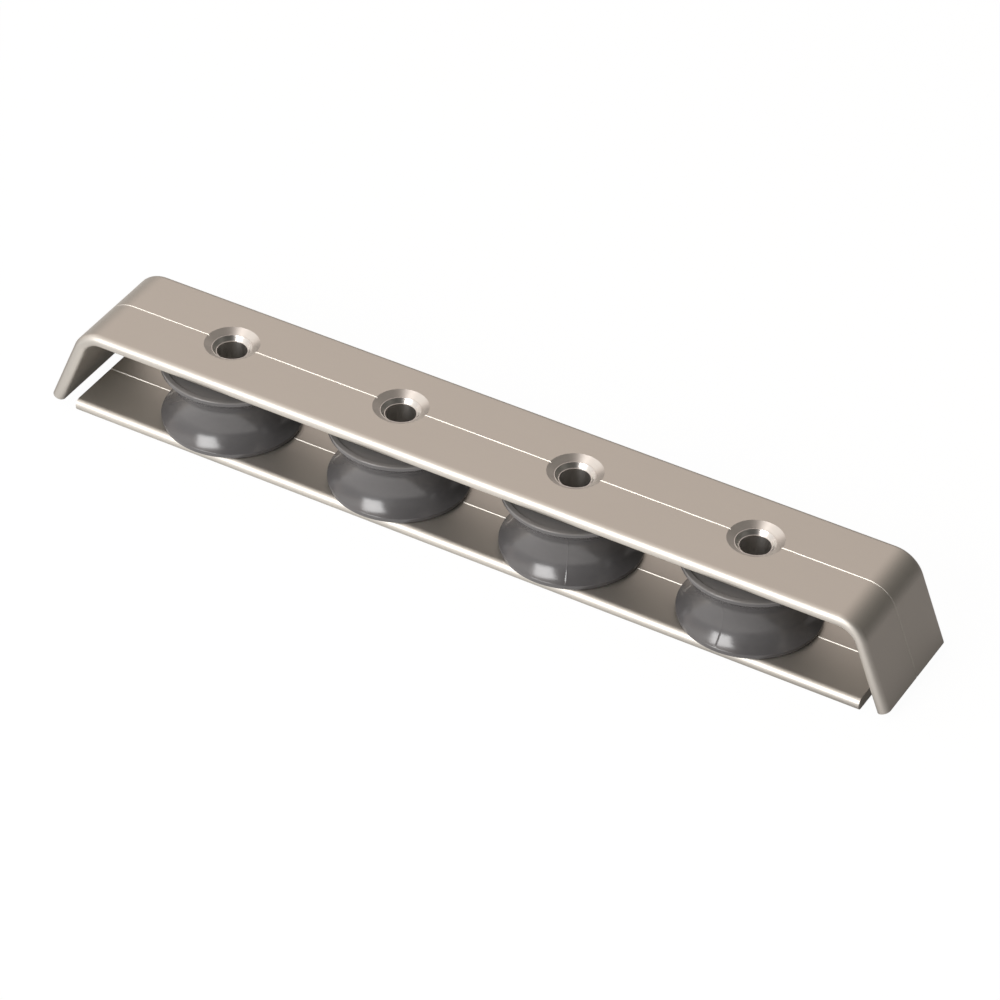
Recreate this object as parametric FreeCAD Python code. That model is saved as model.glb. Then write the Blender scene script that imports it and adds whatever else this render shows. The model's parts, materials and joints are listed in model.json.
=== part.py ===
"""Flush deck organizer with four sheaves between a bent top plate and a straight base plate.

Lengths are in millimetres and angles in degrees. +X runs along the plates, +Y across them and +Z up.
The origin is the centre of the base plate's underside, which lies on the deck.
"""
import FreeCAD, Part
import math
import os

from FreeCAD import Vector

# Layout
sheave_count = 4
sheave_spacing = 57.0
rope_gap = 22.1

# Flat bar with full-round long edges, which both plates are cut from
bar_width = 37.2
bar_thickness = 4.0
mark_width = 0.45
mark_depth = 0.3

# Bent ends of the top plate
corner_margin = 40.9
leg_angle = 68.0
bend_inner_radius = 6.0
foot_clearance = 1.6
base_end_gap = 4.1

# Tubular bushes for M8 bolts, pressed into both plates
bolt_hole_radius = 4.5
bush_wall = 1.5
bush_end_land = 0.2
bush_foot_recess = 0.2
sink_width = 2.2
sink_angle = 120.0

# Moulded sheaves, which rest on the base plate, with the hub carried on up to the top plate
sheave_radius = 21.0
flange_height = 19.9
rim_edge = 1.3
rim_land = 1.6
rim_corner_radius = 0.25
groove_depth = 4.0
face_recess = 0.3
moulding_draft = 0.2
hub_face_width = 4.0
bore_chamfer = 0.5
running_clearance = 0.08
thrust_clearance = 0.2

# Sizes that follow from those above
overall_height = 2 * bar_thickness + rope_gap
sheave_foot = bar_thickness + thrust_clearance
sheave_middle = sheave_foot + flange_height / 2
bush_radius = bolt_hole_radius + bush_wall
sink_depth = sink_width / math.tan(math.radians(sink_angle / 2))
last_sheave_x = (sheave_count - 1) / 2 * sheave_spacing
outer_corner_x = last_sheave_x + corner_margin
leg_turn = math.radians(leg_angle)
inner_corner_x = outer_corner_x - bar_thickness * math.tan(leg_turn / 2)
base_half_length = inner_corner_x + rope_gap / math.tan(leg_turn) - base_end_gap


def sheave_positions():
    """X of each sheave's axis, from the left."""
    return [i * sheave_spacing - last_sheave_x for i in range(sheave_count)]


def bar_section(x, underside_z):
    """Closed outline of the bar in a plane across X, with the V-shaped centre mark in its upper face."""
    edge_radius = bar_thickness / 2
    flat_y = bar_width / 2 - edge_radius
    middle_z = underside_z + edge_radius
    top_z = underside_z + bar_thickness
    mark_y = mark_width / 2

    def at(y, z):
        return Vector(x, y, z)

    far_edge = Part.Arc(at(flat_y, underside_z), at(bar_width / 2, middle_z), at(flat_y, top_z))
    near_edge = Part.Arc(at(-flat_y, top_z), at(-bar_width / 2, middle_z), at(-flat_y, underside_z))
    edges = [
        Part.LineSegment(at(-flat_y, underside_z), at(flat_y, underside_z)),
        far_edge,
        Part.LineSegment(at(flat_y, top_z), at(mark_y, top_z)),
        Part.LineSegment(at(mark_y, top_z), at(0, top_z - mark_depth)),
        Part.LineSegment(at(0, top_z - mark_depth), at(-mark_y, top_z)),
        Part.LineSegment(at(-mark_y, top_z), at(-flat_y, top_z)),
        near_edge,
    ]
    return Part.Wire([edge.toShape() for edge in edges])


def bent_path():
    """Middle line of half the top bar: along the flat, round the bend and down the leg."""
    middle_z = overall_height - bar_thickness / 2
    middle_radius = bend_inner_radius + bar_thickness / 2
    corner_x = outer_corner_x - bar_thickness / 2 * math.tan(leg_turn / 2)
    tangent_length = middle_radius * math.tan(leg_turn / 2)
    start = Vector(0, 0, middle_z)
    bend_start = Vector(corner_x - tangent_length, 0, middle_z)
    half_turn = leg_turn / 2
    bend_middle = bend_start + middle_radius * Vector(math.sin(half_turn), 0, math.cos(half_turn) - 1)
    leg_direction = Vector(math.cos(leg_turn), 0, -math.sin(leg_turn))
    bend_end = Vector(corner_x, 0, middle_z) + tangent_length * leg_direction
    leg_end_z = foot_clearance + bar_thickness / 2 * math.cos(leg_turn)
    leg_length = (bend_end.z - leg_end_z) / math.sin(leg_turn)
    leg_end = bend_end + leg_length * leg_direction
    edges = [
        Part.LineSegment(start, bend_start),
        Part.Arc(bend_start, bend_middle, bend_end),
        Part.LineSegment(bend_end, leg_end),
    ]
    return Part.Wire([edge.toShape() for edge in edges])


def mirrored_about_middle(shape):
    """The shape reflected to the other end of the organizer."""
    return shape.mirror(Vector(0, 0, 0), Vector(1, 0, 0))


def bent_bar():
    """The top bar before drilling, swept in two halves from its middle."""
    section = bar_section(0, overall_height - bar_thickness)
    half = bent_path().makePipeShell([section], True, False)
    return half.fuse(mirrored_about_middle(half)).removeSplitter()


def straight_bar():
    """The base bar before drilling."""
    section = Part.Face(bar_section(-base_half_length, 0))
    return section.extrude(Vector(2 * base_half_length, 0, 0))


def drill(bar, underside_z):
    """Cuts the holes that the bushes are pressed into."""
    holes = [
        Part.makeCylinder(bush_radius, bar_thickness, Vector(x, 0, underside_z))
        for x in sheave_positions()
    ]
    return bar.cut(Part.makeCompound(holes))


def countersink(bar):
    """Cuts the shallow countersinks for the bolt heads in the top face."""
    foot_z = overall_height - sink_depth
    sinks = [
        Part.makeCone(bush_radius, bush_radius + sink_width, sink_depth, Vector(x, 0, foot_z))
        for x in sheave_positions()
    ]
    return bar.cut(Part.makeCompound(sinks))


def make_top_plate():
    """Bent, drilled and countersunk bar."""
    return countersink(drill(bent_bar(), overall_height - bar_thickness))


def make_base_plate():
    """Straight, drilled bar that lies on the deck."""
    return drill(straight_bar(), 0)


def revolved(points, x):
    """Solid of revolution about the vertical axis at x. Each point is a radius and a height."""
    corners = [Vector(radius, 0, z) for radius, z in points]
    outline = Part.makePolygon(corners + corners[:1])
    solid = Part.Face(outline).revolve(Vector(0, 0, 0), Vector(0, 0, 1), 360)
    return solid.translated(Vector(x, 0, 0))


def make_bush(x):
    """Tube with both mouths chamfered, ending where the countersink starts."""
    foot_z = bush_foot_recess
    head_z = overall_height - sink_depth
    mouth_radius = bush_radius - bush_end_land
    mouth_depth = mouth_radius - bolt_hole_radius
    return revolved(
        [
            (bush_radius, foot_z),
            (bush_radius, head_z),
            (mouth_radius, head_z),
            (bolt_hole_radius, head_z - mouth_depth),
            (bolt_hole_radius, foot_z + mouth_depth),
            (mouth_radius, foot_z),
        ],
        x,
    )


def rope_groove():
    """Ring that is cut from a sheave to leave its round rope groove."""
    half_opening = flange_height / 2 - rim_edge
    groove_radius = (half_opening**2 + groove_depth**2) / (2 * groove_depth)
    centre_radius = sheave_radius - groove_depth + groove_radius
    ring = Part.makeTorus(centre_radius, groove_radius, Vector(0, 0, sheave_middle))
    band_radius = centre_radius + groove_radius
    band = Part.makeCylinder(band_radius, 2 * half_opening, Vector(0, 0, sheave_middle - half_opening))
    return ring.common(band)


def is_rim_corner(edge):
    """True for the circles round the outside of a sheave's two rims."""
    if not isinstance(edge.Curve, Part.Circle):
        return False
    return abs(edge.Curve.Radius - sheave_radius) < rim_corner_radius / 2


def make_sheave(x):
    """Moulded wheel with a round rope groove, dished faces and a plain bore."""
    bore_radius = bush_radius + running_clearance
    mouth_radius = bore_radius + bore_chamfer
    hub_radius = bore_radius + hub_face_width
    land_radius = sheave_radius - rim_land
    flange_top = sheave_foot + flange_height
    hub_top = bar_thickness + rope_gap - thrust_clearance
    blank = revolved(
        [
            (bore_radius, sheave_foot + bore_chamfer),
            (mouth_radius, sheave_foot),
            (hub_radius, sheave_foot),
            (hub_radius + moulding_draft, sheave_foot + face_recess),
            (land_radius - moulding_draft, sheave_foot + face_recess),
            (land_radius, sheave_foot),
            (sheave_radius, sheave_foot),
            (sheave_radius, flange_top),
            (land_radius, flange_top),
            (land_radius - moulding_draft, flange_top - face_recess),
            (hub_radius + moulding_draft, flange_top - face_recess),
            (hub_radius, hub_top),
            (mouth_radius, hub_top),
            (bore_radius, hub_top - bore_chamfer),
        ],
        0,
    )
    wheel = blank.cut(rope_groove())
    rim_corners = [edge for edge in wheel.Edges if is_rim_corner(edge)]
    return wheel.makeFillet(rim_corner_radius, rim_corners).translated(Vector(x, 0, 0))


def build():
    """All pieces by name."""
    pieces = {"top_plate": make_top_plate(), "base_plate": make_base_plate()}
    for number, x in enumerate(sheave_positions(), start=1):
        pieces[f"bush_{number}"] = make_bush(x)
        pieces[f"sheave_{number}"] = make_sheave(x)
    return pieces


os.makedirs("parts", exist_ok=True)
for name, shape in build().items():
    shape.exportStep(f"parts/{name}.step")
    print(name, "solids", len(shape.Solids), "valid", shape.isValid(), "volume", round(shape.Volume, 1))
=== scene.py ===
"""Studio scene of a deck organizer with four sheaves between a bent top bar and a straight base bar.

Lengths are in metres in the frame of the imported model: +X runs along the bars, +Y across them and
+Z up from the deck.
"""
import json
import logging
import math
from dataclasses import dataclass
from enum import Enum

import bpy
from mathutils import Matrix, Vector


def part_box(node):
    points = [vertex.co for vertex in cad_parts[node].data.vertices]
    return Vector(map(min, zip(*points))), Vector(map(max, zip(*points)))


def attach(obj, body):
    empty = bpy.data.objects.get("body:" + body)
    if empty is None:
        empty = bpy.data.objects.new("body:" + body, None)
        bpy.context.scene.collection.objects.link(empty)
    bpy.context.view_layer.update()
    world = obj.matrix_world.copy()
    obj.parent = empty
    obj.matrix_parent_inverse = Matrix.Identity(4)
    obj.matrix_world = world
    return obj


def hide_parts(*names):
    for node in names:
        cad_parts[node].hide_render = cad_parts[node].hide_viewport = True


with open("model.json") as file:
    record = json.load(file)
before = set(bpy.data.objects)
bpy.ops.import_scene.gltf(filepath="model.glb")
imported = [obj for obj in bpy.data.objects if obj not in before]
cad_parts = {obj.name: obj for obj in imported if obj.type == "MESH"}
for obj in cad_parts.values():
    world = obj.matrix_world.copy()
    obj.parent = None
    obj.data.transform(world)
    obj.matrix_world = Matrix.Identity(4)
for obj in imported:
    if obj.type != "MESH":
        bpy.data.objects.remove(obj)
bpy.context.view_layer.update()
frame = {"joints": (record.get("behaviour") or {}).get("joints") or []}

MM = 0.001

LOG = logging.getLogger("deck_organizer")

Point = tuple[float, float]
Span = tuple[float, float]
Colour = tuple[float, float, float]
Place = tuple[float, float, float]

WHITE: Colour = (1.0, 1.0, 1.0)

BEVEL_SEGMENTS = 3
BEVEL_ANGLE = math.radians(75)
BAR_CREASE_ANGLE = math.radians(20)
TURNED_CREASE_ANGLE = math.radians(28)


class Slot(Enum):
    """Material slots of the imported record."""

    BAR = "anodised_bar"
    BUSH = "stainless"
    SHEAVE = "sheave_plastic"


class Body(Enum):
    """Bodies that do not turn."""

    FRAME = "frame"


class Axis(Enum):
    """What the edge of a zone is measured along."""

    X = "X"
    Y = "Y"
    Z = "Z"
    AWAY = "AWAY"


def rgba(colour: Colour) -> tuple[float, float, float, float]:
    """Adds full opacity to a colour.

    Args:
        colour: the colour.

    Returns:
        The colour with its opacity.
    """
    return (*colour, 1.0)


def dress(piece: bpy.types.Object, node: str, body: str) -> None:
    """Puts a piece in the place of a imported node.

    Args:
        piece: the piece.
        node: the node that it replaces.
        body: the body that it moves with.
    """
    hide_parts(node)
    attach(piece, body)
    LOG.info("%s: %d faces", piece.name, len(piece.data.polygons))


class NodeTree:
    """A node tree that is written step by step."""

    def __init__(self, tree: bpy.types.NodeTree) -> None:
        """Takes over a tree.

        Args:
            tree: the tree that nodes are added to.
        """
        self.tree = tree

    def add(self, kind: str, inputs: dict | None = None, **settings: object) -> bpy.types.Node:
        """Adds a node.

        Args:
            kind: the node's type name.
            inputs: socket name or number to a value, or to the output socket that feeds it.
            settings: the node's own properties.

        Returns:
            The new node.
        """
        node = self.tree.nodes.new(kind)
        for name, value in settings.items():
            setattr(node, name, value)
        for key, value in (inputs or {}).items():
            if isinstance(value, bpy.types.NodeSocket):
                self.tree.links.new(value, node.inputs[key])
            else:
                node.inputs[key].default_value = value
        return node

    def math(
        self, operation: str, first: object, second: object = 0.0, third: object = 0.0
    ) -> bpy.types.NodeSocket:
        """Adds a maths step.

        Args:
            operation: the name of the operation.
            first: a number or a socket.
            second: a number or a socket.
            third: a number or a socket.

        Returns:
            The result's socket.
        """
        node = self.add("ShaderNodeMath", {0: first, 1: second, 2: third}, operation=operation)
        return node.outputs[0]

    def ramp(self, value: bpy.types.NodeSocket, start: float, end: float) -> bpy.types.NodeSocket:
        """Adds a soft step.

        Args:
            value: the socket that is followed.
            start: the value up to which the result is 0.
            end: the value from which the result is 1.

        Returns:
            The result's socket.
        """
        node = self.add(
            "ShaderNodeMapRange",
            {"Value": value, "From Min": start, "From Max": end},
            interpolation_type="SMOOTHSTEP",
        )
        return node.outputs[0]

    def blend(self, share: bpy.types.NodeSocket, first: object, second: object) -> bpy.types.NodeSocket:
        """Adds a blend of two colours.

        Args:
            share: how much of the second colour there is, from 0 to 1.
            first: a colour or a socket.
            second: a colour or a socket.

        Returns:
            The result's socket.
        """
        inputs = {"Factor": share, "A": first, "B": second}
        return self.add("ShaderNodeMix", inputs, data_type="RGBA").outputs["Result"]

    def mixed(self, share: object, first: bpy.types.Node, second: bpy.types.Node) -> bpy.types.Node:
        """Adds a mix of two shaders.

        Args:
            share: how much of the second shader there is, as a number or a socket.
            first: a shader.
            second: a shader.

        Returns:
            The mix.
        """
        return self.add("ShaderNodeMixShader", {0: share, 1: first.outputs[0], 2: second.outputs[0]})


class SizedTree(NodeTree):
    """A Geometry Nodes tree with named inputs for its sizes."""

    def __init__(self, name: str) -> None:
        """Starts a tree that takes and gives geometry.

        Args:
            name: the name of the tree.
        """
        super().__init__(bpy.data.node_groups.new(name, "GeometryNodeTree"))
        for way in ("INPUT", "OUTPUT"):
            self.tree.interface.new_socket(
                name="Geometry", in_out=way, socket_type="NodeSocketGeometry"
            )
        self.entry = self.tree.nodes.new("NodeGroupInput")

    def length(self, name: str) -> bpy.types.NodeSocket:
        """Adds a named number.

        Args:
            name: the input's name.

        Returns:
            The socket that gives its value inside the tree.
        """
        return self.named(name, "NodeSocketFloat")

    def count(self, name: str) -> bpy.types.NodeSocket:
        """Adds a named whole number.

        Args:
            name: the input's name.

        Returns:
            The socket that gives its value inside the tree.
        """
        return self.named(name, "NodeSocketInt")

    def named(self, name: str, kind: str) -> bpy.types.NodeSocket:
        """Adds a named input of any kind.

        Args:
            name: the input's name.
            kind: the socket's type name.

        Returns:
            The socket that gives its value inside the tree.
        """
        self.tree.interface.new_socket(name=name, in_out="INPUT", socket_type=kind)
        return self.entry.outputs[name]

    def smooth(self, geometry: bpy.types.NodeSocket, crease_angle: float) -> bpy.types.NodeSocket:
        """Shades a surface smooth between creases.

        Args:
            geometry: the surface.
            crease_angle: edges that turn by more than this, in radians, stay sharp.

        Returns:
            The shaded surface.
        """
        faces = self.add(
            "GeometryNodeSetShadeSmooth", {"Geometry": geometry, "Shade Smooth": True}, domain="FACE"
        )
        turn = self.add("GeometryNodeInputMeshEdgeAngle").outputs["Unsigned Angle"]
        creases = self.math("GREATER_THAN", turn, crease_angle)
        edges = self.add(
            "GeometryNodeSetShadeSmooth",
            {"Geometry": faces.outputs[0], "Selection": creases, "Shade Smooth": False},
            domain="EDGE",
        )
        return edges.outputs[0]

    def finish(
        self,
        geometry: bpy.types.NodeSocket,
        material: bpy.types.NodeSocket,
        kept: bpy.types.NodeSocket | None = None,
    ) -> None:
        """Ends the tree with realized geometry and its material.

        Args:
            geometry: the finished geometry.
            material: the material of the surface.
            kept: a material that faces keep where they have it already.
        """
        realized = self.add("GeometryNodeRealizeInstances", {"Geometry": geometry})
        inputs = {"Geometry": realized.outputs[0], "Material": material}
        if kept is not None:
            has_kept = self.add("GeometryNodeMaterialSelection", {"Material": kept}).outputs[0]
            bare = self.add("FunctionNodeBooleanMath", {0: has_kept}, operation="NOT")
            inputs["Selection"] = bare.outputs[0]
        dressed = self.add("GeometryNodeSetMaterial", inputs)
        self.add("NodeGroupOutput", {"Geometry": dressed.outputs[0]})

    def run(
        self, name: str, outline: "Outline", sizes: dict[str, object], bevel: float = 0.0
    ) -> bpy.types.Object:
        """Runs the tree on an outline.

        Args:
            name: the name of the new piece.
            outline: the outline that the tree starts from.
            sizes: the value of each named input.
            bevel: how far its square edges are broken, 0 to leave them.

        Returns:
            A plain mesh object at the origin.
        """
        source = bpy.data.objects.new(f"{name}_source", outline.mesh(f"{name}_outline"))
        bpy.context.scene.collection.objects.link(source)
        modifier = source.modifiers.new("shape", "NODES")
        modifier.node_group = self.tree
        items = self.tree.interface.items_tree
        identifiers = {item.name: item.identifier for item in items if item.in_out == "INPUT"}
        for label, value in sizes.items():
            modifier[identifiers[label]] = value
        if bevel > 0.0:
            broken = source.modifiers.new("edges", "BEVEL")
            broken.width = bevel
            broken.segments = BEVEL_SEGMENTS
            broken.limit_method = "ANGLE"
            broken.angle_limit = BEVEL_ANGLE
        weigh = source.modifiers.new("normals", "WEIGHTED_NORMAL")
        weigh.keep_sharp = True
        source.update_tag()
        graph = bpy.context.evaluated_depsgraph_get()
        mesh = bpy.data.meshes.new_from_object(
            source.evaluated_get(graph), preserve_all_data_layers=True, depsgraph=graph
        )
        mesh.name = name
        bpy.data.objects.remove(source)
        piece = bpy.data.objects.new(name, mesh)
        bpy.context.scene.collection.objects.link(piece)
        return piece


@dataclass(frozen=True)
class Outline:
    """A line of points in a flat plane or in space, open or closed."""

    points: tuple[Place, ...]
    closed: bool

    def mesh(self, name: str) -> bpy.types.Mesh:
        """Makes a mesh of edges only.

        Args:
            name: the mesh's name.

        Returns:
            The mesh.
        """
        count = len(self.points)
        edges = [(i, (i + 1) % count) for i in range(count if self.closed else count - 1)]
        mesh = bpy.data.meshes.new(name)
        mesh.from_pydata(self.points, edges, [])
        return mesh

    @staticmethod
    def bar_section(points: list[Point]) -> "Outline":
        """Lays out a bar's section as the sweep wants it.

        Args:
            points: distances across the bar and heights above its middle.

        Returns:
            The closed profile.
        """
        return Outline(tuple((-across, -height, 0.0) for across, height in points), True)

    @staticmethod
    def turned_section(points: list[Point]) -> "Outline":
        """Lays out a turned part's section as the sweep round a circle wants it.

        Args:
            points: distances out from the bore and heights.

        Returns:
            The closed profile.
        """
        return Outline(tuple((out, -height, 0.0) for out, height in reversed(points)), True)


def arc(centre: Point, radius: float, start: float, end: float, steps: int) -> list[Point]:
    """Points along a circular arc.

    Args:
        centre: the arc's centre.
        radius: its radius.
        start: the first point's angle in radians.
        end: the last point's angle in radians.
        steps: how many chords it has.

    Returns:
        The points, both ends included.
    """
    angles = [start + (end - start) * i / steps for i in range(steps + 1)]
    return [(centre[0] + radius * math.cos(a), centre[1] + radius * math.sin(a)) for a in angles]


def softened(corners: list[tuple[Point, float]], steps: int = 6) -> list[Point]:
    """Rounds the corners of a closed section.

    Args:
        corners: each corner, and how far from it its rounding starts, 0 to keep it.
        steps: how many chords a rounded corner has.

    Returns:
        The section's points.
    """
    points = []
    for i, (corner, reach) in enumerate(corners):
        middle = Vector(corner)
        if reach == 0.0:
            points.append(corner)
            continue
        start = middle + reach * (Vector(corners[i - 1][0]) - middle).normalized()
        end = middle + reach * (Vector(corners[(i + 1) % len(corners)][0]) - middle).normalized()
        for step in range(steps + 1):
            t = step / steps
            blend = (1 - t) ** 2 * start + 2 * t * (1 - t) * middle + t**2 * end
            points.append((blend.x, blend.y))
    return points


class SurfaceTree(NodeTree):
    """The tree of a new material that ends in a Principled shader."""

    def __init__(self, name: str) -> None:
        """Starts a material.

        Args:
            name: the material's name.
        """
        self.material = bpy.data.materials.new(name)
        self.material.use_nodes = True
        super().__init__(self.material.node_tree)
        self.shader = self.tree.nodes["Principled BSDF"]
        self.place = self.add("ShaderNodeTexCoord").outputs["Object"]

    def set(self, name: str, value: object) -> None:
        """Gives one of the shader's inputs a value.

        Args:
            name: the input's name.
            value: a constant, or the output socket that feeds it.
        """
        if isinstance(value, bpy.types.NodeSocket):
            self.tree.links.new(value, self.shader.inputs[name])
        else:
            self.shader.inputs[name].default_value = value

    def noise(self, place: bpy.types.NodeSocket, scale: float, detail: float) -> bpy.types.NodeSocket:
        """Adds a noise texture.

        Args:
            place: where it is read.
            scale: how fine it is.
            detail: how many octaves it has.

        Returns:
            The texture's value.
        """
        inputs = {"Vector": place, "Scale": scale, "Detail": detail}
        return self.add("ShaderNodeTexNoise", inputs).outputs[0]

    def stretched(self, scale: Place, detail: float) -> bpy.types.NodeSocket:
        """Adds a noise texture with its own fineness along each axis.

        Args:
            scale: how fine it is along each axis.
            detail: how many octaves it has.

        Returns:
            The texture's value.
        """
        mapping = self.add("ShaderNodeMapping", {"Vector": self.place, "Scale": scale})
        return self.noise(mapping.outputs[0], 1.0, detail)

    def uneven(
        self, texture: bpy.types.NodeSocket, roughness: Span, strength: float, height: float
    ) -> None:
        """Varies the shader's roughness and relief with a texture.

        Args:
            texture: the texture's value.
            roughness: the lowest and highest roughness.
            strength: how strongly the relief shows.
            height: the depth of the relief.
        """
        low, high = roughness
        varied = self.add("ShaderNodeMapRange", {"Value": texture, "To Min": low, "To Max": high})
        bump = self.add(
            "ShaderNodeBump", {"Height": texture, "Strength": strength, "Distance": height}
        )
        self.set("Roughness", varied.outputs[0])
        self.set("Normal", bump.outputs[0])


@dataclass(frozen=True)
class AnodisedFinish:
    """Satin anodised aluminium with a faint drawn grain along the bar."""

    colour: Colour = (0.70, 0.67, 0.62)
    tint: Colour = (0.68, 0.65, 0.60)
    roughness: Span = (0.48, 0.55)
    patch_scale: Place = (38.0, 60.0, 60.0)
    patch_detail: float = 3.0
    grain_scale: Place = (60.0, 5200.0, 60.0)
    grain_detail: float = 2.0
    grain_height: float = 0.006 * MM
    grain_strength: float = 0.35

    def material(self) -> bpy.types.Material:
        """Builds the material.

        Returns:
            The material.
        """
        surface = SurfaceTree("anodised_satin")
        patch = surface.stretched(self.patch_scale, self.patch_detail)
        grain = surface.stretched(self.grain_scale, self.grain_detail)
        surface.set("Metallic", 1.0)
        surface.set("Base Color", surface.blend(patch, rgba(self.colour), rgba(self.tint)))
        surface.uneven(grain, self.roughness, self.grain_strength, self.grain_height)
        return surface.material


@dataclass(frozen=True)
class TurnedFinish:
    """Bare metal with fine rings round each bolt hole, as a turning or countersinking tool leaves it.

    The rings draw each highlight out across themselves, so that it runs down the slope of a
    countersink.
    """

    name: str
    colour: Colour
    roughness: Span
    hole_spacing: float
    first_hole_x: float
    drawn_out: float = 0.65
    quarter_turn: float = 0.25
    ring_pitch: float = 0.40 * MM
    ring_slope: float = 0.6
    ring_detail: float = 2.0
    ring_height: float = 0.03 * MM
    ring_strength: float = 0.5

    def material(self) -> bpy.types.Material:
        """Builds the material.

        Returns:
            The material.
        """
        surface = SurfaceTree(self.name)
        parts = surface.add("ShaderNodeSeparateXYZ", {0: surface.place}).outputs
        half = self.hole_spacing / 2
        from_first = surface.math("SUBTRACT", parts["X"], self.first_hole_x)
        from_hole = surface.math("WRAP", from_first, half, -half)
        around = surface.add("ShaderNodeCombineXYZ", {0: from_hole, 1: parts["Y"]}).outputs[0]
        length = surface.add("ShaderNodeVectorMath", {0: around}, operation="LENGTH")
        depth = surface.math("MULTIPLY_ADD", parts["Z"], self.ring_slope, length.outputs["Value"])
        ring = surface.math("MULTIPLY", depth, 1 / self.ring_pitch)
        ring_place = surface.add("ShaderNodeCombineXYZ", {0: ring}).outputs[0]
        rings = surface.noise(ring_place, 1.0, self.ring_detail)
        backward = surface.math("MULTIPLY", parts["Y"], -1.0)
        along_rings = surface.add("ShaderNodeCombineXYZ", {0: backward, 1: from_hole}).outputs[0]
        surface.set("Metallic", 1.0)
        surface.set("Base Color", rgba(self.colour))
        surface.set("Anisotropic", self.drawn_out)
        surface.set("Anisotropic Rotation", self.quarter_turn)
        surface.set("Tangent", along_rings)
        surface.uneven(rings, self.roughness, self.ring_strength, self.ring_height)
        return surface.material


@dataclass(frozen=True)
class MouldedFinish:
    """Glossy dark grey moulded plastic, uneven from the mould, with its upper faces painted paler as
    painted light.
    """

    face_z: float
    colour: Colour = (0.100, 0.097, 0.099)
    tint: Colour = (0.114, 0.111, 0.113)
    # Painted light: the upper faces are painted paler than the rest, standing in for the light that
    # falls on them.
    upper_face_painted_light_colour: Colour = (0.195, 0.189, 0.185)
    painted_light_fade: float = 0.1 * MM
    specular_level: float = 0.85
    roughness: Span = (0.17, 0.22)
    flow_scale: float = 260.0
    flow_detail: float = 3.0
    flow_height: float = 0.02 * MM
    flow_strength: float = 0.3

    def material(self) -> bpy.types.Material:
        """Builds the material.

        Returns:
            The material.
        """
        surface = SurfaceTree("moulded_dark_grey")
        flow = surface.noise(surface.place, self.flow_scale, self.flow_detail)
        colour = surface.blend(flow, rgba(self.colour), rgba(self.tint))
        height = surface.add("ShaderNodeSeparateXYZ", {0: surface.place}).outputs["Z"]
        # Painted light: above face_z the colour fades to the paler upper-face colour.
        painted_light_share = surface.ramp(height, self.face_z - self.painted_light_fade, self.face_z)
        surface.set("Base Color", surface.blend(painted_light_share, colour, rgba(self.upper_face_painted_light_colour)))
        surface.set("Specular IOR Level", self.specular_level)
        surface.uneven(flow, self.roughness, self.flow_strength, self.flow_height)
        return surface.material


def bar_tree() -> SizedTree:
    """Tree that rounds a route's corners, sweeps a bar section along it and drills a row of holes.

    Returns:
        The tree. It starts from the route as a line of corner points.
    """
    tree = SizedTree("drilled_bar")
    section_object = tree.named("Section", "NodeSocketObject")
    bend_radius = tree.length("Bend Radius")
    bend_steps = tree.count("Bend Steps")
    hole_count = tree.count("Hole Count")
    first_hole = tree.length("First Hole X")
    spacing = tree.length("Hole Spacing")
    hole_radius = tree.length("Hole Radius")
    hole_depth = tree.length("Hole Depth")
    hole_middle = tree.length("Hole Middle Z")
    sink_width = tree.length("Sink Width")
    sink_depth = tree.length("Sink Depth")
    sink_foot = tree.length("Sink Foot Z")
    round_steps = tree.count("Round Steps")
    bar_material = tree.named("Bar Material", "NodeSocketMaterial")
    sink_material = tree.named("Sink Material", "NodeSocketMaterial")

    corners = tree.add("GeometryNodeMeshToCurve", {"Mesh": tree.entry.outputs["Geometry"]})
    bent = tree.add(
        "GeometryNodeFilletCurve",
        {"Curve": corners.outputs[0], "Count": bend_steps, "Radius": bend_radius},
        mode="POLY",
    )
    route = tree.add("GeometryNodeSetCurveNormal", {"Curve": bent.outputs[0]}, mode="Z_UP")
    section_mesh = tree.add(
        "GeometryNodeObjectInfo", {"Object": section_object}, transform_space="ORIGINAL"
    )
    section = tree.add("GeometryNodeMeshToCurve", {"Mesh": section_mesh.outputs["Geometry"]})
    swept = tree.add(
        "GeometryNodeCurveToMesh",
        {"Curve": route.outputs[0], "Profile Curve": section.outputs[0], "Fill Caps": True},
    )

    start = tree.add("ShaderNodeCombineXYZ", {"X": first_hole})
    step = tree.add("ShaderNodeCombineXYZ", {"X": spacing})
    row = tree.add(
        "GeometryNodeMeshLine",
        {"Count": hole_count, "Start Location": start.outputs[0], "Offset": step.outputs[0]},
        mode="OFFSET",
        count_mode="TOTAL",
    )
    drill = tree.add(
        "GeometryNodeMeshCylinder",
        {"Vertices": round_steps, "Radius": hole_radius, "Depth": hole_depth},
    )
    sink_top = tree.math("ADD", hole_radius, sink_width)
    sink = tree.add(
        "GeometryNodeMeshCone",
        {
            "Vertices": round_steps,
            "Radius Top": sink_top,
            "Radius Bottom": hole_radius,
            "Depth": sink_depth,
        },
    )
    drilled = swept.outputs[0]
    for tool, height in ((drill, hole_middle), (sink, sink_foot)):
        place = tree.add("ShaderNodeCombineXYZ", {"Z": height}).outputs[0]
        cutter = tree.add(
            "GeometryNodeTransform", {"Geometry": tool.outputs["Mesh"], "Translation": place}
        )
        cutters = tree.add(
            "GeometryNodeInstanceOnPoints", {"Points": row.outputs[0], "Instance": cutter.outputs[0]}
        )
        solid = tree.add("GeometryNodeRealizeInstances", {"Geometry": cutters.outputs[0]})
        bright = tree.add(
            "GeometryNodeSetMaterial", {"Geometry": solid.outputs[0], "Material": sink_material}
        )
        cut = tree.add(
            "GeometryNodeMeshBoolean",
            {"Mesh 1": drilled, "Mesh 2": bright.outputs[0]},
            operation="DIFFERENCE",
            solver="EXACT",
        )
        drilled = cut.outputs["Mesh"]
    tree.finish(tree.smooth(drilled, BAR_CREASE_ANGLE), bar_material, sink_material)
    return tree


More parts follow.
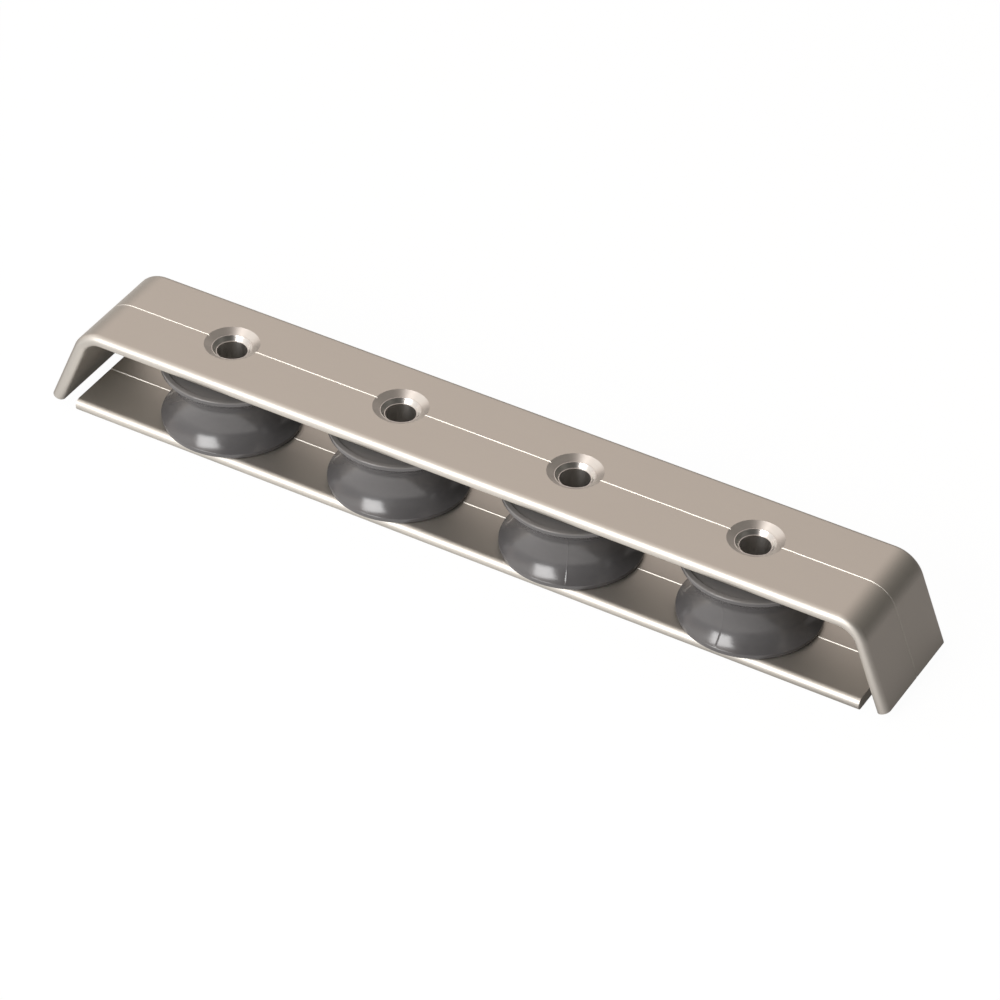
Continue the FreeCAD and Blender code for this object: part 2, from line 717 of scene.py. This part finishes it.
def turned_tree() -> SizedTree:
    """Tree that turns a closed section about a vertical axis, with two raised mould lines.

    Returns:
        The tree. It starts from the section, measured out from the bore.
    """
    tree = SizedTree("turned_part")
    pitch_radius = tree.length("Pitch Radius")
    round_steps = tree.count("Round Steps")
    centre_x = tree.length("Centre X")
    mould_angle = tree.length("Mould Line Angle")
    mould_height = tree.length("Mould Line Height")
    mould_reach = tree.length("Mould Line Reach")
    mould_middle = tree.length("Mould Line Middle Z")
    material = tree.named("Material", "NodeSocketMaterial")

    section = tree.add("GeometryNodeMeshToCurve", {"Mesh": tree.entry.outputs["Geometry"]})
    circle = tree.add(
        "GeometryNodeCurvePrimitiveCircle",
        {"Resolution": round_steps, "Radius": pitch_radius},
        mode="RADIUS",
    )
    turned = tree.add(
        "GeometryNodeCurveToMesh",
        {"Curve": circle.outputs["Curve"], "Profile Curve": section.outputs[0]},
    )
    place = tree.add("GeometryNodeInputPosition").outputs[0]
    parts = tree.add("ShaderNodeSeparateXYZ", {0: place}).outputs
    turn = tree.math("SUBTRACT", tree.math("ARCTAN2", parts["Y"], parts["X"]), mould_angle)
    apart = tree.math("ABSOLUTE", tree.math("WRAP", turn, math.pi / 2, -math.pi / 2))
    half_step = tree.math("DIVIDE", math.pi, round_steps)
    on_line = tree.math("LESS_THAN", apart, half_step)
    from_middle = tree.math("ABSOLUTE", tree.math("SUBTRACT", parts["Z"], mould_middle))
    in_groove = tree.math("LESS_THAN", from_middle, mould_reach)
    rise = tree.math("MULTIPLY", tree.math("MULTIPLY", on_line, in_groove), mould_height)
    outward = tree.add(
        "ShaderNodeVectorMath",
        {0: tree.add("GeometryNodeInputNormal").outputs[0], "Scale": rise},
        operation="SCALE",
    )
    raised = tree.add(
        "GeometryNodeSetPosition", {"Geometry": turned.outputs[0], "Offset": outward.outputs[0]}
    )
    aside = tree.add("ShaderNodeCombineXYZ", {"X": centre_x})
    placed = tree.add(
        "GeometryNodeTransform", {"Geometry": raised.outputs[0], "Translation": aside.outputs[0]}
    )
    tree.finish(tree.smooth(placed.outputs[0], TURNED_CREASE_ANGLE), material)
    return tree


@dataclass(frozen=True)
class Layout:
    """Places and overall sizes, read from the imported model."""

    sheave_axes: list[float]
    deck_z: float
    top_z: float
    bar_width: float
    bar_thickness: float
    base_half_length: float
    leg_reach: float
    leg_foot_z: float
    sheave_radius: float
    hub_foot_z: float
    hub_head_z: float
    bush_radius: float
    bush_foot_z: float
    bush_head_z: float

    @classmethod
    def from_frame(cls) -> "Layout":
        """Reads the joints and the boxes of the nodes.

        Returns:
            The layout.
        """
        top_low, top_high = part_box("top_plate")
        base_low, base_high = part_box("base_plate")
        sheave_low, sheave_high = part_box("sheave_1")
        bush_low, bush_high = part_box("bush_1")
        return cls(
            sheave_axes=sorted(joint["pos_m"][0] for joint in frame["joints"]),
            deck_z=base_low[2],
            top_z=top_high[2],
            bar_width=base_high[1] - base_low[1],
            bar_thickness=base_high[2] - base_low[2],
            base_half_length=base_high[0],
            leg_reach=top_high[0],
            leg_foot_z=top_low[2],
            sheave_radius=(sheave_high[0] - sheave_low[0]) / 2,
            hub_foot_z=sheave_low[2],
            hub_head_z=sheave_high[2],
            bush_radius=(bush_high[0] - bush_low[0]) / 2,
            bush_foot_z=bush_low[2],
            bush_head_z=bush_high[2],
        )

    @property
    def spacing(self) -> float:
        """Distance between neighbouring sheaves."""
        return self.sheave_axes[1] - self.sheave_axes[0]


@dataclass
class Plates:
    """The bent top bar and the straight base bar."""

    layout: Layout
    leg_angle: float = math.radians(68.0)
    bend_inner_radius: float = 6.0 * MM
    bend_steps: int = 40
    mark_width: float = 0.45 * MM
    mark_depth: float = 0.3 * MM
    edge_steps: int = 28
    round_steps: int = 160
    sink_half_angle: float = math.radians(60.0)
    cutter_margin: float = 1.0 * MM
    end_bevel: float = 0.12 * MM

    def section(self) -> Outline:
        """Full-round bar section with the centre mark in its upper face.

        Returns:
            The closed profile about the middle of the bar.
        """
        edge_radius = self.layout.bar_thickness / 2
        flat = self.layout.bar_width / 2 - edge_radius
        quarter = math.pi / 2
        mark = self.mark_width / 2
        points = arc((flat, 0.0), edge_radius, -quarter, quarter, self.edge_steps)
        points += [(mark, edge_radius), (0.0, edge_radius - self.mark_depth), (-mark, edge_radius)]
        points += arc((-flat, 0.0), edge_radius, quarter, 3 * quarter, self.edge_steps)
        return Outline.bar_section(points)

    def bent_route(self) -> Outline:
        """Corner points of the top bar's middle line, from the left foot to the right foot.

        Returns:
            The open line.
        """
        half = self.layout.bar_thickness / 2
        middle_z = self.layout.top_z - half
        foot_x = self.layout.leg_reach - half * math.sin(self.leg_angle)
        foot_z = self.layout.leg_foot_z + half * math.cos(self.leg_angle)
        corner_x = foot_x - (middle_z - foot_z) / math.tan(self.leg_angle)
        left = ((-foot_x, 0, foot_z), (-corner_x, 0, middle_z))
        right = ((corner_x, 0, middle_z), (foot_x, 0, foot_z))
        return Outline(left + right, False)

    def straight_route(self) -> Outline:
        """Ends of the base bar's middle line.

        Returns:
            The open line.
        """
        middle_z = self.layout.deck_z + self.layout.bar_thickness / 2
        end_x = self.layout.base_half_length
        return Outline(((-end_x, 0, middle_z), (end_x, 0, middle_z)), False)

    def build(self, tree: SizedTree, bar: bpy.types.Material, sink: bpy.types.Material) -> None:
        """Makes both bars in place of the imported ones.

        Args:
            tree: the tree that sweeps and drills a bar.
            bar: the finish of the bar.
            sink: the finish of its holes and countersinks.
        """
        layout = self.layout
        half = layout.bar_thickness / 2
        section = bpy.data.objects.new("bar_section", self.section().mesh("bar_section"))
        bpy.context.scene.collection.objects.link(section)
        above = layout.top_z + self.cutter_margin
        cutter_depth = above - layout.bush_head_z
        shared = {
            "Section": section,
            "Bend Radius": self.bend_inner_radius + half,
            "Bend Steps": self.bend_steps,
            "Hole Count": len(layout.sheave_axes),
            "First Hole X": layout.sheave_axes[0],
            "Hole Spacing": layout.spacing,
            "Hole Radius": layout.bush_radius,
            "Hole Depth": layout.bar_thickness + 2 * self.cutter_margin,
            "Round Steps": self.round_steps,
            "Bar Material": bar,
            "Sink Material": sink,
            "Sink Width": cutter_depth * math.tan(self.sink_half_angle),
            "Sink Depth": cutter_depth,
        }
        top = tree.run(
            "bent_top_bar",
            self.bent_route(),
            {**shared, "Hole Middle Z": layout.top_z - half, "Sink Foot Z": layout.bush_head_z},
            self.end_bevel,
        )
        base = tree.run(
            "straight_base_bar",
            self.straight_route(),
            {**shared, "Hole Middle Z": layout.deck_z + half, "Sink Foot Z": above},
            self.end_bevel,
        )
        bpy.data.objects.remove(section)
        dress(top, "top_plate", Body.FRAME.value)
        dress(base, "base_plate", Body.FRAME.value)


@dataclass
class Bushes:
    """Four tubes through the plates, which the sheaves turn on."""

    layout: Layout
    bore_radius: float = 4.5 * MM
    end_land: float = 0.2 * MM
    lip_land: float = 0.22 * MM
    edge_break: float = 0.06 * MM
    round_steps: int = 160

    def section(self) -> Outline:
        """Wall of the tube, with chamfered mouths and a narrow lip round the bore's upper end.

        Returns:
            The closed profile, measured out from the bore.
        """
        layout = self.layout
        wall = layout.bush_radius - self.bore_radius
        mouth = wall - self.end_land
        head = layout.bush_head_z
        foot = layout.bush_foot_z
        corners = [(wall, foot), (wall, head), (mouth, head), (self.lip_land, head - mouth)]
        corners += [(0.0, head - mouth), (0.0, foot + mouth), (mouth, foot)]
        return Outline.turned_section(softened([(corner, self.edge_break) for corner in corners]))

    def build(self, tree: SizedTree, material: bpy.types.Material) -> None:
        """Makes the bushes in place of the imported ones.

        Args:
            tree: the tree that turns a section.
            material: the finish.
        """
        for number, x in enumerate(self.layout.sheave_axes, start=1):
            piece = tree.run(
                f"bush_tube_{number}",
                self.section(),
                {
                    "Pitch Radius": self.bore_radius,
                    "Round Steps": self.round_steps,
                    "Centre X": x,
                    "Mould Line Height": 0.0,
                    "Material": material,
                },
            )
            dress(piece, f"bush_{number}", Body.FRAME.value)


@dataclass
class Sheaves:
    """Four moulded wheels with a round rope groove and dished faces."""

    layout: Layout
    running_clearance: float = 0.08 * MM
    flange_height: float = 19.9 * MM
    rim_edge: float = 1.3 * MM
    rim_land: float = 1.6 * MM
    rim_corner: float = 0.25 * MM
    lower_lip: float = 0.12 * MM
    top_rim_corner: float = 0.38 * MM
    groove_depth: float = 4.0 * MM
    face_recess: float = 0.3 * MM
    moulding_draft: float = 0.2 * MM
    hub_face_width: float = 4.0 * MM
    bore_chamfer: float = 0.5 * MM
    edge_break: float = 0.1 * MM
    groove_steps: int = 48
    round_steps: int = 480
    mould_line_height: float = 0.07 * MM
    mould_line_angles: tuple[float, ...] = (0.35, 0.2, -1.152, -1.58)

    @property
    def face_z(self) -> float:
        """Height of the upper face, inside the rim."""
        return self.layout.hub_foot_z + self.flange_height - self.face_recess

    @property
    def groove_half(self) -> float:
        """Half the width of the rope groove's mouth."""
        return self.flange_height / 2 - self.rim_edge

    @property
    def groove_middle(self) -> float:
        """Height of the rope groove's middle."""
        return self.layout.hub_foot_z + self.flange_height / 2

    def groove(self, rim: float) -> list[Point]:
        """Round floor of the rope groove, from its lower lip to its upper lip.

        Args:
            rim: distance of the rim's outside from the bore.

        Returns:
            The points.
        """
        half = self.groove_half
        radius = (half**2 + self.groove_depth**2) / (2 * self.groove_depth)
        centre = (rim - self.groove_depth + radius, self.groove_middle)
        half_turn = math.asin(half / radius)
        return arc(centre, radius, math.pi + half_turn, math.pi - half_turn, self.groove_steps)

    def section(self) -> Outline:
        """Half section of a wheel.

        Returns:
            The closed profile, measured out from the bore.
        """
        layout = self.layout
        foot = layout.hub_foot_z
        head = layout.hub_head_z
        top = foot + self.flange_height
        rim = layout.sheave_radius - layout.bush_radius - self.running_clearance
        land = rim - self.rim_land
        hub = self.hub_face_width
        chamfer = self.bore_chamfer
        draft = self.moulding_draft
        recess = self.face_recess
        groove = self.groove(rim)
        lower_face = [(0.0, foot + chamfer), (chamfer, foot), (hub, foot)]
        lower_face += [(hub + draft, foot + recess), (land - draft, foot + recess), (land, foot)]
        upper_face = [(land, top), (land - draft, top - recess), (hub + draft, top - recess)]
        upper_face += [(hub, head), (chamfer, head), (0.0, head - chamfer)]
        corners = [(corner, self.edge_break) for corner in lower_face]
        corners += [((rim, foot), self.rim_corner), (groove[0], self.lower_lip)]
        corners += [(point, 0.0) for point in groove[1:-1]]
        corners += [(groove[-1], self.rim_corner), ((rim, top), self.top_rim_corner)]
        corners += [(corner, self.edge_break) for corner in upper_face]
        return Outline.turned_section(softened(corners))

    def build(self, tree: SizedTree, material: bpy.types.Material) -> None:
        """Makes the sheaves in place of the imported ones.

        Args:
            tree: the tree that turns a section.
            material: the finish.
        """
        layout = self.layout
        for number, x in enumerate(layout.sheave_axes, start=1):
            piece = tree.run(
                f"sheave_wheel_{number}",
                self.section(),
                {
                    "Pitch Radius": layout.bush_radius + self.running_clearance,
                    "Round Steps": self.round_steps,
                    "Centre X": x,
                    "Mould Line Angle": self.mould_line_angles[number - 1],
                    "Mould Line Height": self.mould_line_height,
                    "Mould Line Reach": self.groove_half - self.lower_lip,
                    "Mould Line Middle Z": self.groove_middle,
                    "Material": material,
                },
            )
            dress(piece, f"sheave_{number}", f"sheave_{number}")


@dataclass(frozen=True)
class SoftBox:
    """A flat studio light that faces a point."""

    name: str
    place: Place
    aim: Place
    width: float
    height: float
    power: float

    def build(self) -> None:
        """Adds the light."""
        lamp = bpy.data.lights.new(self.name, "AREA")
        lamp.shape = "RECTANGLE"
        lamp.size = self.width
        lamp.size_y = self.height
        lamp.energy = self.power
        light = bpy.data.objects.new(self.name, lamp)
        bpy.context.scene.collection.objects.link(light)
        towards = Vector(self.aim) - Vector(self.place)
        turn = towards.to_track_quat("-Z", "Y").to_matrix().to_4x4()
        light.matrix_world = Matrix.Translation(self.place) @ turn
        light.visible_camera = False


@dataclass(frozen=True)
class Edge:
    """A soft edge along one axis, which goes from nothing at its start to everything at its end."""

    axis: Axis
    start: float
    end: float


@dataclass(frozen=True)
class Zone:
    """Paint that covers what lies below it inside its edges.

    With joined set it covers wherever any of its edges lets it, and otherwise only where all do.
    """

    name: str
    paint: "Paint"
    edges: tuple[Edge, ...]
    joined: bool = False

    def share(self, nodes: NodeTree, along: dict[Axis, bpy.types.NodeSocket]) -> bpy.types.NodeSocket:
        """Works out how much the zone covers.

        Args:
            nodes: the tree that is written.
            along: the measure along each axis.

        Returns:
            The share, from 0 to 1.
        """
        ramps = [nodes.ramp(along[edge.axis], edge.start, edge.end) for edge in self.edges]
        share = ramps[0]
        for ramp in ramps[1:]:
            share = nodes.math("MAXIMUM" if self.joined else "MULTIPLY", share, ramp)
        return share


@dataclass(frozen=True)
class Paint:
    """A colour with zones of other paint laid over it in turn."""

    base: Colour
    zones: tuple[Zone, ...] = ()

    def mix(self, nodes: NodeTree, along: dict[Axis, bpy.types.NodeSocket]) -> object:
        """Mixes the paint.

        Args:
            nodes: the tree that is written.
            along: the measure along each axis.

        Returns:
            The colour, or the socket that gives it.
        """
        colour = rgba(self.base)
        for zone in self.zones:
            colour = nodes.blend(zone.share(nodes, along), colour, zone.paint.mix(nodes, along))
            colour.node.label = zone.name
        return colour


DARK_CORNER = Paint((0.05, 0.05, 0.045))

# Floor paint that reflections and bounced light see. Painted shade is laid over its white: darker
# behind and right of the object, darker at the far left, and a painted shadow under the bars.
FLOOR_PAINT_AND_SHADE = Paint(
    (0.92, 0.91, 0.90),
    (
        # Painted shade: darker floor behind the object and to its right.
        Zone(
            "painted shade beyond",
            Paint((0.345, 0.33, 0.325)),
            (Edge(Axis.AWAY, -0.02, 0.17), Edge(Axis.Y, 0.0, 0.03), Edge(Axis.X, 0.14, 0.165)),
            joined=True,
        ),
        # Painted shade: darker floor at the far left.
        Zone("left", Paint((0.64, 0.64, 0.64)), (Edge(Axis.X, -0.118, -0.145),)),
        # Painted shadow: dark floor under the bars.
        Zone(
            "painted shadow under the bars",
            Paint((0.12, 0.115, 0.11)),
            (
                Edge(Axis.Y, -0.0225, -0.0145),
                Edge(Axis.Y, 0.035, 0.022),
                Edge(Axis.X, 0.155, 0.14),
            ),
        ),
    ),
)

FRONT_WALL = Paint(
    (0.55, 0.54, 0.54),
    (Zone("front right", Paint((0.20, 0.195, 0.195)), (Edge(Axis.X, 0.2, 0.5),)),),
)

ROOM_PAINT = Paint(
    (0.90, 0.79, 0.73),
    (
        Zone("right side", Paint((0.17, 0.163, 0.15)), (Edge(Axis.X, -0.3, 0.35),)),
        Zone("front wall", FRONT_WALL, (Edge(Axis.Y, 0.1, -0.5), Edge(Axis.Z, 0.55, 0.15))),
        Zone(
            "low back",
            Paint((0.15, 0.145, 0.135)),
            (Edge(Axis.Y, 0.1, 0.4), Edge(Axis.Z, 0.55, 0.3)),
        ),
        Zone(
            "right corner",
            DARK_CORNER,
            (Edge(Axis.X, 0.25, 0.45), Edge(Axis.Y, 0.0, 0.3), Edge(Axis.Z, 0.6, 0.35)),
        ),
        Zone(
            "camera side",
            DARK_CORNER,
            (Edge(Axis.X, -0.1, 0.3), Edge(Axis.Y, 0.2, -0.2), Edge(Axis.Z, 0.35, 0.6)),
        ),
        Zone(
            "left window",
            Paint((1.25, 1.21, 1.17)),
            (Edge(Axis.X, -0.45, -0.6), Edge(Axis.Y, 0.3, 0.1), Edge(Axis.Z, 0.3, 0.5)),
        ),
    ),
)


@dataclass(frozen=True)
class Studio:
    """White table and backdrop, a room that is darker to the right, and a soft box."""

    floor_z: float
    floor_size: float = 6.0
    floor_drop: float = 0.05 * MM
    floor_slant: float = 1.6
    seen_white: float = 1.02
    seen_shadow: float = 0.05
    mirrored_shadow: float = 0.6
    mirrored_glow: float = 1.5
    box: SoftBox = SoftBox(
        name="front_left",
        place=(-0.36, -1.35, 0.76),
        aim=(0.0, 0.0, 0.02),
        width=0.85,
        height=0.90,
        power=16.5,
    )

    def floor(self) -> None:
        """Adds the table top, which is white to the camera but for the object's soft shadow."""
        half = self.floor_size / 2
        z = self.floor_z - self.floor_drop
        corners = [(-half, -half, z), (half, -half, z), (half, half, z), (-half, half, z)]
        mesh = bpy.data.meshes.new("floor")
        mesh.from_pydata(corners, [], [(0, 1, 2, 3)])
        floor = bpy.data.objects.new("floor", mesh)
        bpy.context.scene.collection.objects.link(floor)
        mesh.materials.append(self.floor_material())

    def floor_material(self) -> bpy.types.Material:
        """Builds the table top's material.

        The camera sees it white, with a faint shadow. Other rays see its paint, which has painted shade
        behind, beside and under the object, and which mirrors show partly lit and partly glowing.

        Returns:
            The material.
        """
        material = bpy.data.materials.new("studio_floor")
        material.use_nodes = True
        material.node_tree.nodes.clear()
        nodes = NodeTree(material.node_tree)
        place = nodes.add("ShaderNodeTexCoord").outputs["Object"]
        parts = nodes.add("ShaderNodeSeparateXYZ", {0: place}).outputs
        slanted = nodes.math("MULTIPLY", parts["Y"], self.floor_slant)
        along = {
            Axis.X: parts["X"],
            Axis.Y: parts["Y"],
            Axis.AWAY: nodes.math("ADD", parts["X"], slanted),
        }
        # Painted shade: the floor's paint, darker behind, right and far left of the object and under
        # the bars, feeds both the lit and the glowing floor.
        floor_and_painted_shade = FLOOR_PAINT_AND_SHADE.mix(nodes, along)
        lit = nodes.add("ShaderNodeBsdfDiffuse", {"Color": floor_and_painted_shade})
        shadowed = nodes.add("ShaderNodeBsdfDiffuse", {"Color": rgba(FLOOR_PAINT_AND_SHADE.base)})
        white = nodes.add("ShaderNodeEmission", {"Color": rgba(WHITE), "Strength": self.seen_white})
        glowing = nodes.add("ShaderNodeEmission", {"Color": floor_and_painted_shade, "Strength": self.mirrored_glow})
        seen = nodes.mixed(self.seen_shadow, white, shadowed)
        mirrored = nodes.mixed(self.mirrored_shadow, glowing, lit)
        path = nodes.add("ShaderNodeLightPath").outputs
        by_mirror = nodes.math("MAXIMUM", path["Is Glossy Ray"], path["Is Transmission Ray"])
        other = nodes.mixed(by_mirror, lit, mirrored)
        choice = nodes.mixed(path["Is Camera Ray"], other, seen)
        nodes.add("ShaderNodeOutputMaterial", {"Surface": choice.outputs[0]})
        return material

    def surroundings(self) -> None:
        """Lights the object from a room with a pale left side, darker parts and a window."""
        world = bpy.data.worlds.new("studio")
        world.use_nodes = True
        world.node_tree.nodes.clear()
        nodes = NodeTree(world.node_tree)
        direction = nodes.add("ShaderNodeTexCoord").outputs["Generated"]
        parts = nodes.add("ShaderNodeSeparateXYZ", {0: direction}).outputs
        along = {axis: parts[axis.value] for axis in (Axis.X, Axis.Y, Axis.Z)}
        room = ROOM_PAINT.mix(nodes, along)
        around = nodes.add("ShaderNodeBackground", {"Color": room, "Strength": 1.0})
        white = nodes.add("ShaderNodeBackground", {"Color": rgba(WHITE), "Strength": 1.0})
        ray = nodes.add("ShaderNodeLightPath").outputs["Is Camera Ray"]
        choice = nodes.mixed(ray, around, white)
        nodes.add("ShaderNodeOutputWorld", {"Surface": choice.outputs[0]})
        bpy.context.scene.world = world

    def build(self) -> None:
        """Adds the floor, the surrounding light and the soft box."""
        self.floor()
        self.surroundings()
        self.box.build()
        bpy.context.scene.view_settings.view_transform = "Standard"
        LOG.info("studio: soft box %s", self.box.name)


@dataclass(frozen=True)
class PhotoCamera:
    """The photograph's viewpoint: a long lens from the front right."""

    azimuth: float = math.radians(28.621)
    elevation: float = math.radians(38.378)
    roll: float = math.radians(1.966)
    distance: float = 1.2454
    aim: Place = (0.01699, -0.02246, 0.0301)
    focal_in_frames: float = 4.4804
    sensor_mm: float = 36.0

    def build(self) -> None:
        """Adds the camera and makes it the scene's own."""
        level = Vector((math.cos(self.azimuth), math.sin(self.azimuth), 0.0))
        outward = Vector((math.sin(self.azimuth), -math.cos(self.azimuth), 0.0))
        overhead = Vector((0.0, 0.0, 1.0))
        back = math.cos(self.elevation) * outward + math.sin(self.elevation) * overhead
        upright = back.cross(level)
        right = math.cos(self.roll) * level + math.sin(self.roll) * upright
        up = math.cos(self.roll) * upright - math.sin(self.roll) * level
        place = Vector(self.aim) + self.distance * back
        data = bpy.data.cameras.new("photo_camera")
        data.sensor_width = self.sensor_mm
        data.lens = self.focal_in_frames * self.sensor_mm
        camera = bpy.data.objects.new("photo_camera", data)
        turn = Matrix((right, up, back)).transposed()
        camera.matrix_world = Matrix.Translation(place) @ turn.to_4x4()
        bpy.context.scene.collection.objects.link(camera)
        bpy.context.scene.camera = camera
        LOG.info("camera: %.1f mm lens", data.lens)


def main() -> None:
    """Builds the organizer, the studio and the camera."""
    logging.basicConfig(level=logging.INFO, format="%(name)s: %(message)s")
    layout = Layout.from_frame()
    holes = {"hole_spacing": layout.spacing, "first_hole_x": layout.sheave_axes[0]}
    anodised = AnodisedFinish().material()
    sunk = TurnedFinish(
        name="countersunk_aluminium", colour=(0.75, 0.72, 0.68), roughness=(0.36, 0.48), **holes
    ).material()
    stainless = TurnedFinish(
        name="turned_stainless", colour=(0.78, 0.76, 0.73), roughness=(0.27, 0.37), **holes
    ).material()
    sheaves = Sheaves(layout)
    moulded = MouldedFinish(face_z=sheaves.face_z).material()
    Plates(layout).build(bar_tree(), anodised, sunk)
    turning = turned_tree()
    Bushes(layout).build(turning, stainless)
    sheaves.build(turning, moulded)
    Studio(layout.deck_z).build()
    PhotoCamera().build()


if __name__ == "__main__":
    main()
